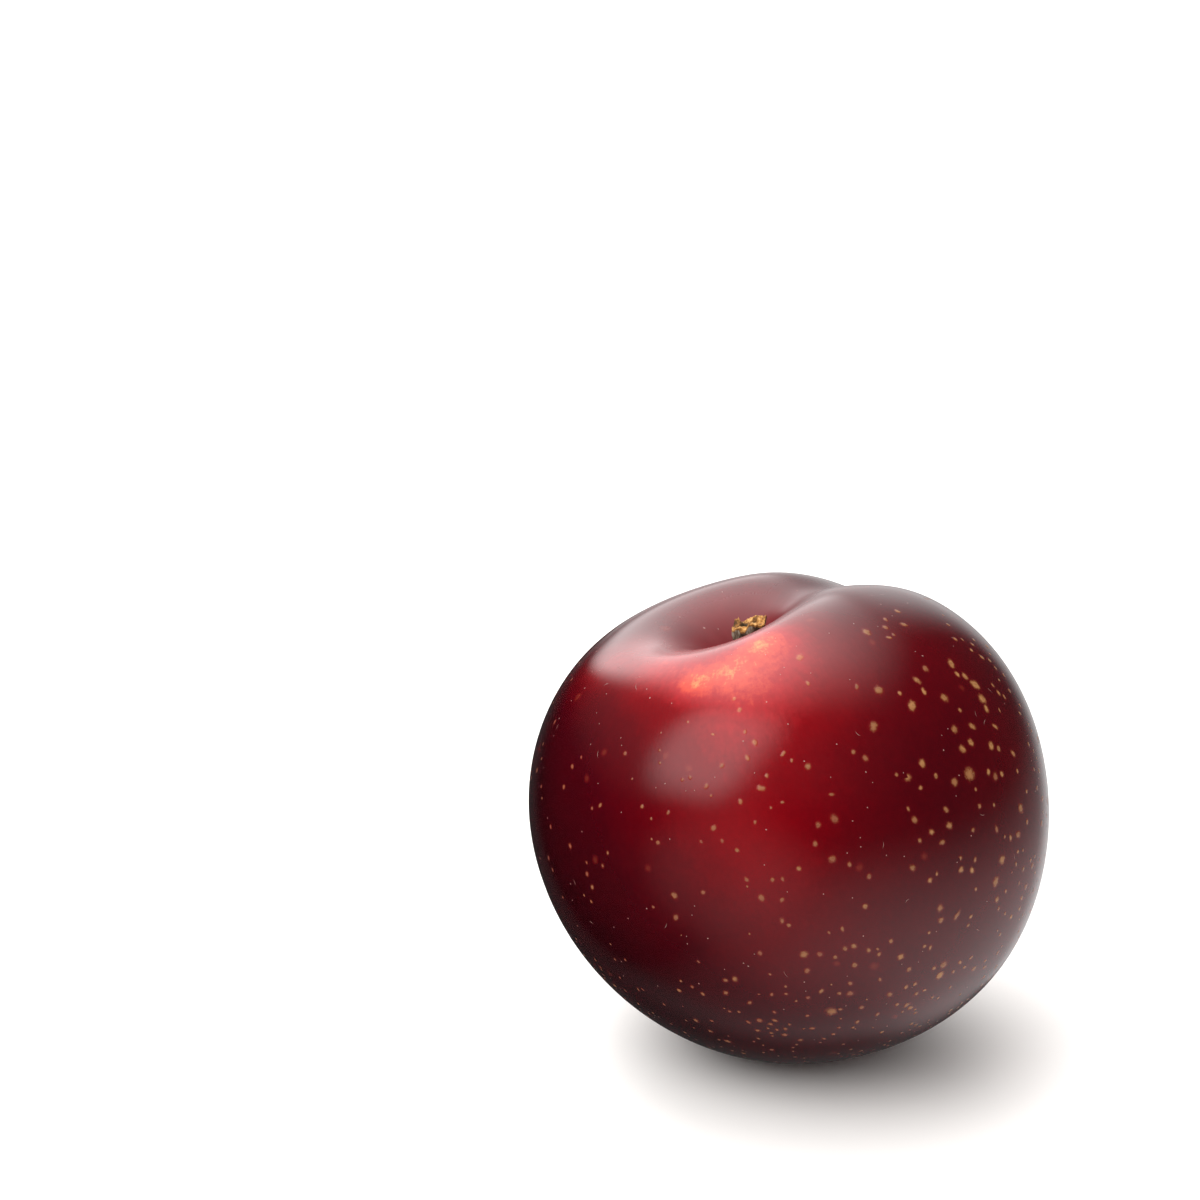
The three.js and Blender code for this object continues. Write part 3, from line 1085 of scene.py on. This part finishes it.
class PLUM_OT_stalk(Operator):
    """Build the broken stub of the stalk"""

    bl_idname = "plum.stalk"
    bl_label = "Stalk"

    def execute(self, context):
        form, look = context.scene.plum_form, context.scene.plum_look
        points, faces, depth, on_top = stalk_mesh(form)
        more, more_faces = splinters(form)
        faces += [tuple(corner + len(points) for corner in face) for face in more_faces]
        points += more
        depth += [SPLINTER_RELIEF] * len(more)
        on_top += [1.0] * len(more)
        own = np.array(points)
        pole = skin_radius(np.array([[0.0, 0.0, 1.0]]), form)[0]
        own_foot = own + np.array([0, 0, pole + STALK_CLEARANCE])
        placed = own_foot @ np.array(LEAN_TURN).T + np.array(CENTRE)
        stalk = mesh_object("stalk", placed, faces)
        store(stalk.data, "own_place", "FLOAT_VECTOR", "POINT", own)
        store(stalk.data, "depth", "FLOAT", "POINT", depth)
        store(stalk.data, "torn", "FLOAT", "POINT", on_top)
        stalk.data.materials.append(stalk_material(look))
        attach(stalk, "root")
        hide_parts("stem_stub")
        return {"FINISHED"}


class PLUM_OT_stage(Operator):
    """Set up the floor, the light and the camera"""

    bl_idname = "plum.stage"
    bl_label = "Stage"

    def execute(self, context):
        scene, stage = context.scene, context.scene.plum_stage
        scene.view_settings.view_transform = "Standard"
        floor = mesh_object("floor", *floor_disc())
        s = Nodes(bpy.data.materials.new("pale_floor"))
        s.surface(
            Base_Color=colour(stage.floor_colour),
            Roughness=FLOOR_ROUGHNESS,
            Specular_IOR_Level=FLOOR_SPECULAR,
        )
        floor.data.materials.append(s.made)
        floor.visible_glossy = False
        scene.world = studio(stage)

        camera = bpy.data.objects.new("camera", bpy.data.cameras.new("camera"))
        scene.collection.objects.link(camera)
        camera.data.lens = stage.lens
        camera.data.sensor_width = SENSOR
        camera.location = CAMERA_PLACE
        camera.rotation_euler = (math.pi / 2 - stage.pitch, 0, 0)
        scene.camera = camera
        return {"FINISHED"}


def floor_disc():
    """A wide round floor just under the fruit."""
    rim = [
        (FLOOR_RADIUS * math.cos(turn), FLOOR_RADIUS * math.sin(turn), FLOOR_HEIGHT)
        for turn in np.linspace(0, 2 * math.pi, FLOOR_SIDES, endpoint=False)
    ]
    return rim, [tuple(range(FLOOR_SIDES))]


def panel_light(s, way, stage):
    """The long panel overhead and behind, brightest at its left."""
    x, y, z = s.parts(way)
    height = s.calc("MAXIMUM", z, PANEL_LEAST_HEIGHT)
    side = s.calc("DIVIDE", x, height)
    deep = s.calc("DIVIDE", y, height)
    hot_x = s.plus(side, HOT_PLACE)
    hot_y = s.times(deep, HOT_LENGTH)
    from_hot = s.plus(s.times(hot_x, hot_x), s.times(hot_y, hot_y))
    hot = s.calc("EXPONENT", s.times(from_hot, HOT_FALL))
    return s.times(
        s.level(s.calc("MULTIPLY_ADD", deep, PANEL_SLANT, side), *PANEL_LEFT),
        s.level(side, *PANEL_RIGHT),
        s.level(deep, *PANEL_NEAR),
        s.level(z, *PANEL_LOW),
        s.calc("MULTIPLY_ADD", hot, HOT_GAIN, 1.0),
        stage.overhead,
    )


def wall_light(s, way, stage):
    """The pale wall behind, in the middle and above the ground."""
    x, y, z = s.parts(way)
    aside = s.calc("ABSOLUTE", s.calc("SUBTRACT", x, WALL_PLACE))
    return s.times(
        s.level(aside, *WALL_SIDES), s.level(y, *WALL_NEAR), s.level(z, *WALL_LOW), stage.glow
    )


def box_light(s, way, stage):
    """The soft box at the left, with rounded corners and brighter towards its top."""
    ahead = s.calc("MAXIMUM", s.dot(way, BOX_WAY), BOX_LEAST_AHEAD)
    box_x = s.calc("DIVIDE", s.dot(way, BOX_SIDE), ahead)
    box_y = s.calc("DIVIDE", s.dot(way, BOX_SIDE.cross(BOX_WAY)), ahead)
    sides = (s.calc("MULTIPLY_ADD", box_x, BOX_SQUEEZE, BOX_SHIFT), box_y)
    powers = [s.calc("POWER", s.calc("ABSOLUTE", part), BOX_ROUNDING) for part in sides]
    corner = s.calc("POWER", s.plus(*powers), BOX_ROOT)
    return s.times(
        s.level(corner, *BOX_EDGE),
        s.calc("MULTIPLY_ADD", box_y, BOX_RISE, 1.0),
        s.level(ahead, *BOX_AHEAD),
        stage.side,
    )


def ground_light(s, way):
    """The pale ground and the room low down, as the fruit's gloss shows them."""
    x, _, z = s.parts(way)
    dark = s.times(s.level(s.dot(way, DARK_WAY), *DARK_EDGE), s.level(x, *DARK_RIGHT))
    ground = s.times(
        s.calc("MAXIMUM", s.calc("MULTIPLY_ADD", x, GROUND_SLOPE, GROUND_LEVEL), 0.0),
        s.level(z, *GROUND_HORIZON),
        s.level(z, *GROUND_BELOW),
        s.calc("MULTIPLY_ADD", dark, DARK_GAIN, 1.0),
    )
    sweep = s.times(
        s.level(s.dot(way, SWEEP_WAY), *SWEEP_EDGE),
        s.level(s.plus(x, z, SWEEP_PLACE), *SWEEP_SIDE),
        s.level(z, *SWEEP_HEIGHT),
    )
    low = s.times(s.level(s.dot(way, LOW_WAY), *LOW_EDGE), LOW_STRENGTH)
    haze = s.times(s.level(x, *HAZE_LEFT), s.level(z, *HAZE_HIGH), HAZE_STRENGTH)
    return s.plus(ground, sweep, haze, low)


def fill_light(s, way, stage):
    """The soft fill from the front and above."""
    high = s.level(s.parts(way)["Z"], *FILL_HIGH)
    return s.times(s.level(s.dot(way, FILL_WAY), *FILL_EDGE), high, stage.fill)


def studio(stage):
    """A soft studio: a long panel overhead and behind, a soft box at the left, a pale ground."""
    s = Nodes(bpy.data.worlds.new("studio"))
    way = s.add("TexCoord").outputs["Generated"]
    above = s.calc("MAXIMUM", panel_light(s, way, stage), box_light(s, way, stage))
    above = s.calc("MAXIMUM", above, wall_light(s, way, stage))
    gleam = s.plus(above, ground_light(s, way))
    lit = s.plus(above, fill_light(s, way, stage))
    path = s.add("LightPath").outputs
    strength = s.add("Mix", {0: path["Is Glossy Ray"], 2: lit, 3: gleam}).outputs[0]
    strength = s.add("Mix", {0: path["Is Camera Ray"], 2: strength, 3: stage.backdrop}).outputs[0]
    background = s.tree.nodes["Background"].inputs
    s.feed(background["Color"], colour((1, 1, 1)))
    s.feed(background["Strength"], strength)
    return s.made


class PLUM_PT_panel(Panel):
    """Lists the plum's builders in the sidebar"""

    bl_label = "Plum"
    bl_idname = "PLUM_PT_panel"
    bl_space_type = "VIEW_3D"
    bl_region_type = "UI"
    bl_category = "Plum"

    def draw(self, context):
        for builder in BUILDERS:
            self.layout.operator(builder.bl_idname)
        for group in SETTINGS:
            settings = getattr(context.scene, group)
            box = self.layout.box()
            for key in settings.__annotations__:
                box.prop(settings, key)


BUILDERS = (PLUM_OT_fruit, PLUM_OT_stalk, PLUM_OT_stage)
SETTINGS = {"plum_form": PlumForm, "plum_look": PlumLook, "plum_stage": PlumStage}


def register():
    """Registers the settings, the builders and the panel."""
    for name, group in SETTINGS.items():
        bpy.utils.register_class(group)
        setattr(bpy.types.Scene, name, PointerProperty(type=group))
    for builder in (*BUILDERS, PLUM_PT_panel):
        bpy.utils.register_class(builder)


def unregister():
    """Removes what register added."""
    for builder in (PLUM_PT_panel, *reversed(BUILDERS)):
        bpy.utils.unregister_class(builder)
    for name, group in SETTINGS.items():
        delattr(bpy.types.Scene, name)
        bpy.utils.unregister_class(group)


def main():
    """Builds the plum and its stage."""
    register()
    bpy.ops.plum.fruit()
    bpy.ops.plum.stalk()
    bpy.ops.plum.stage()


if __name__ == "__main__":
    main()
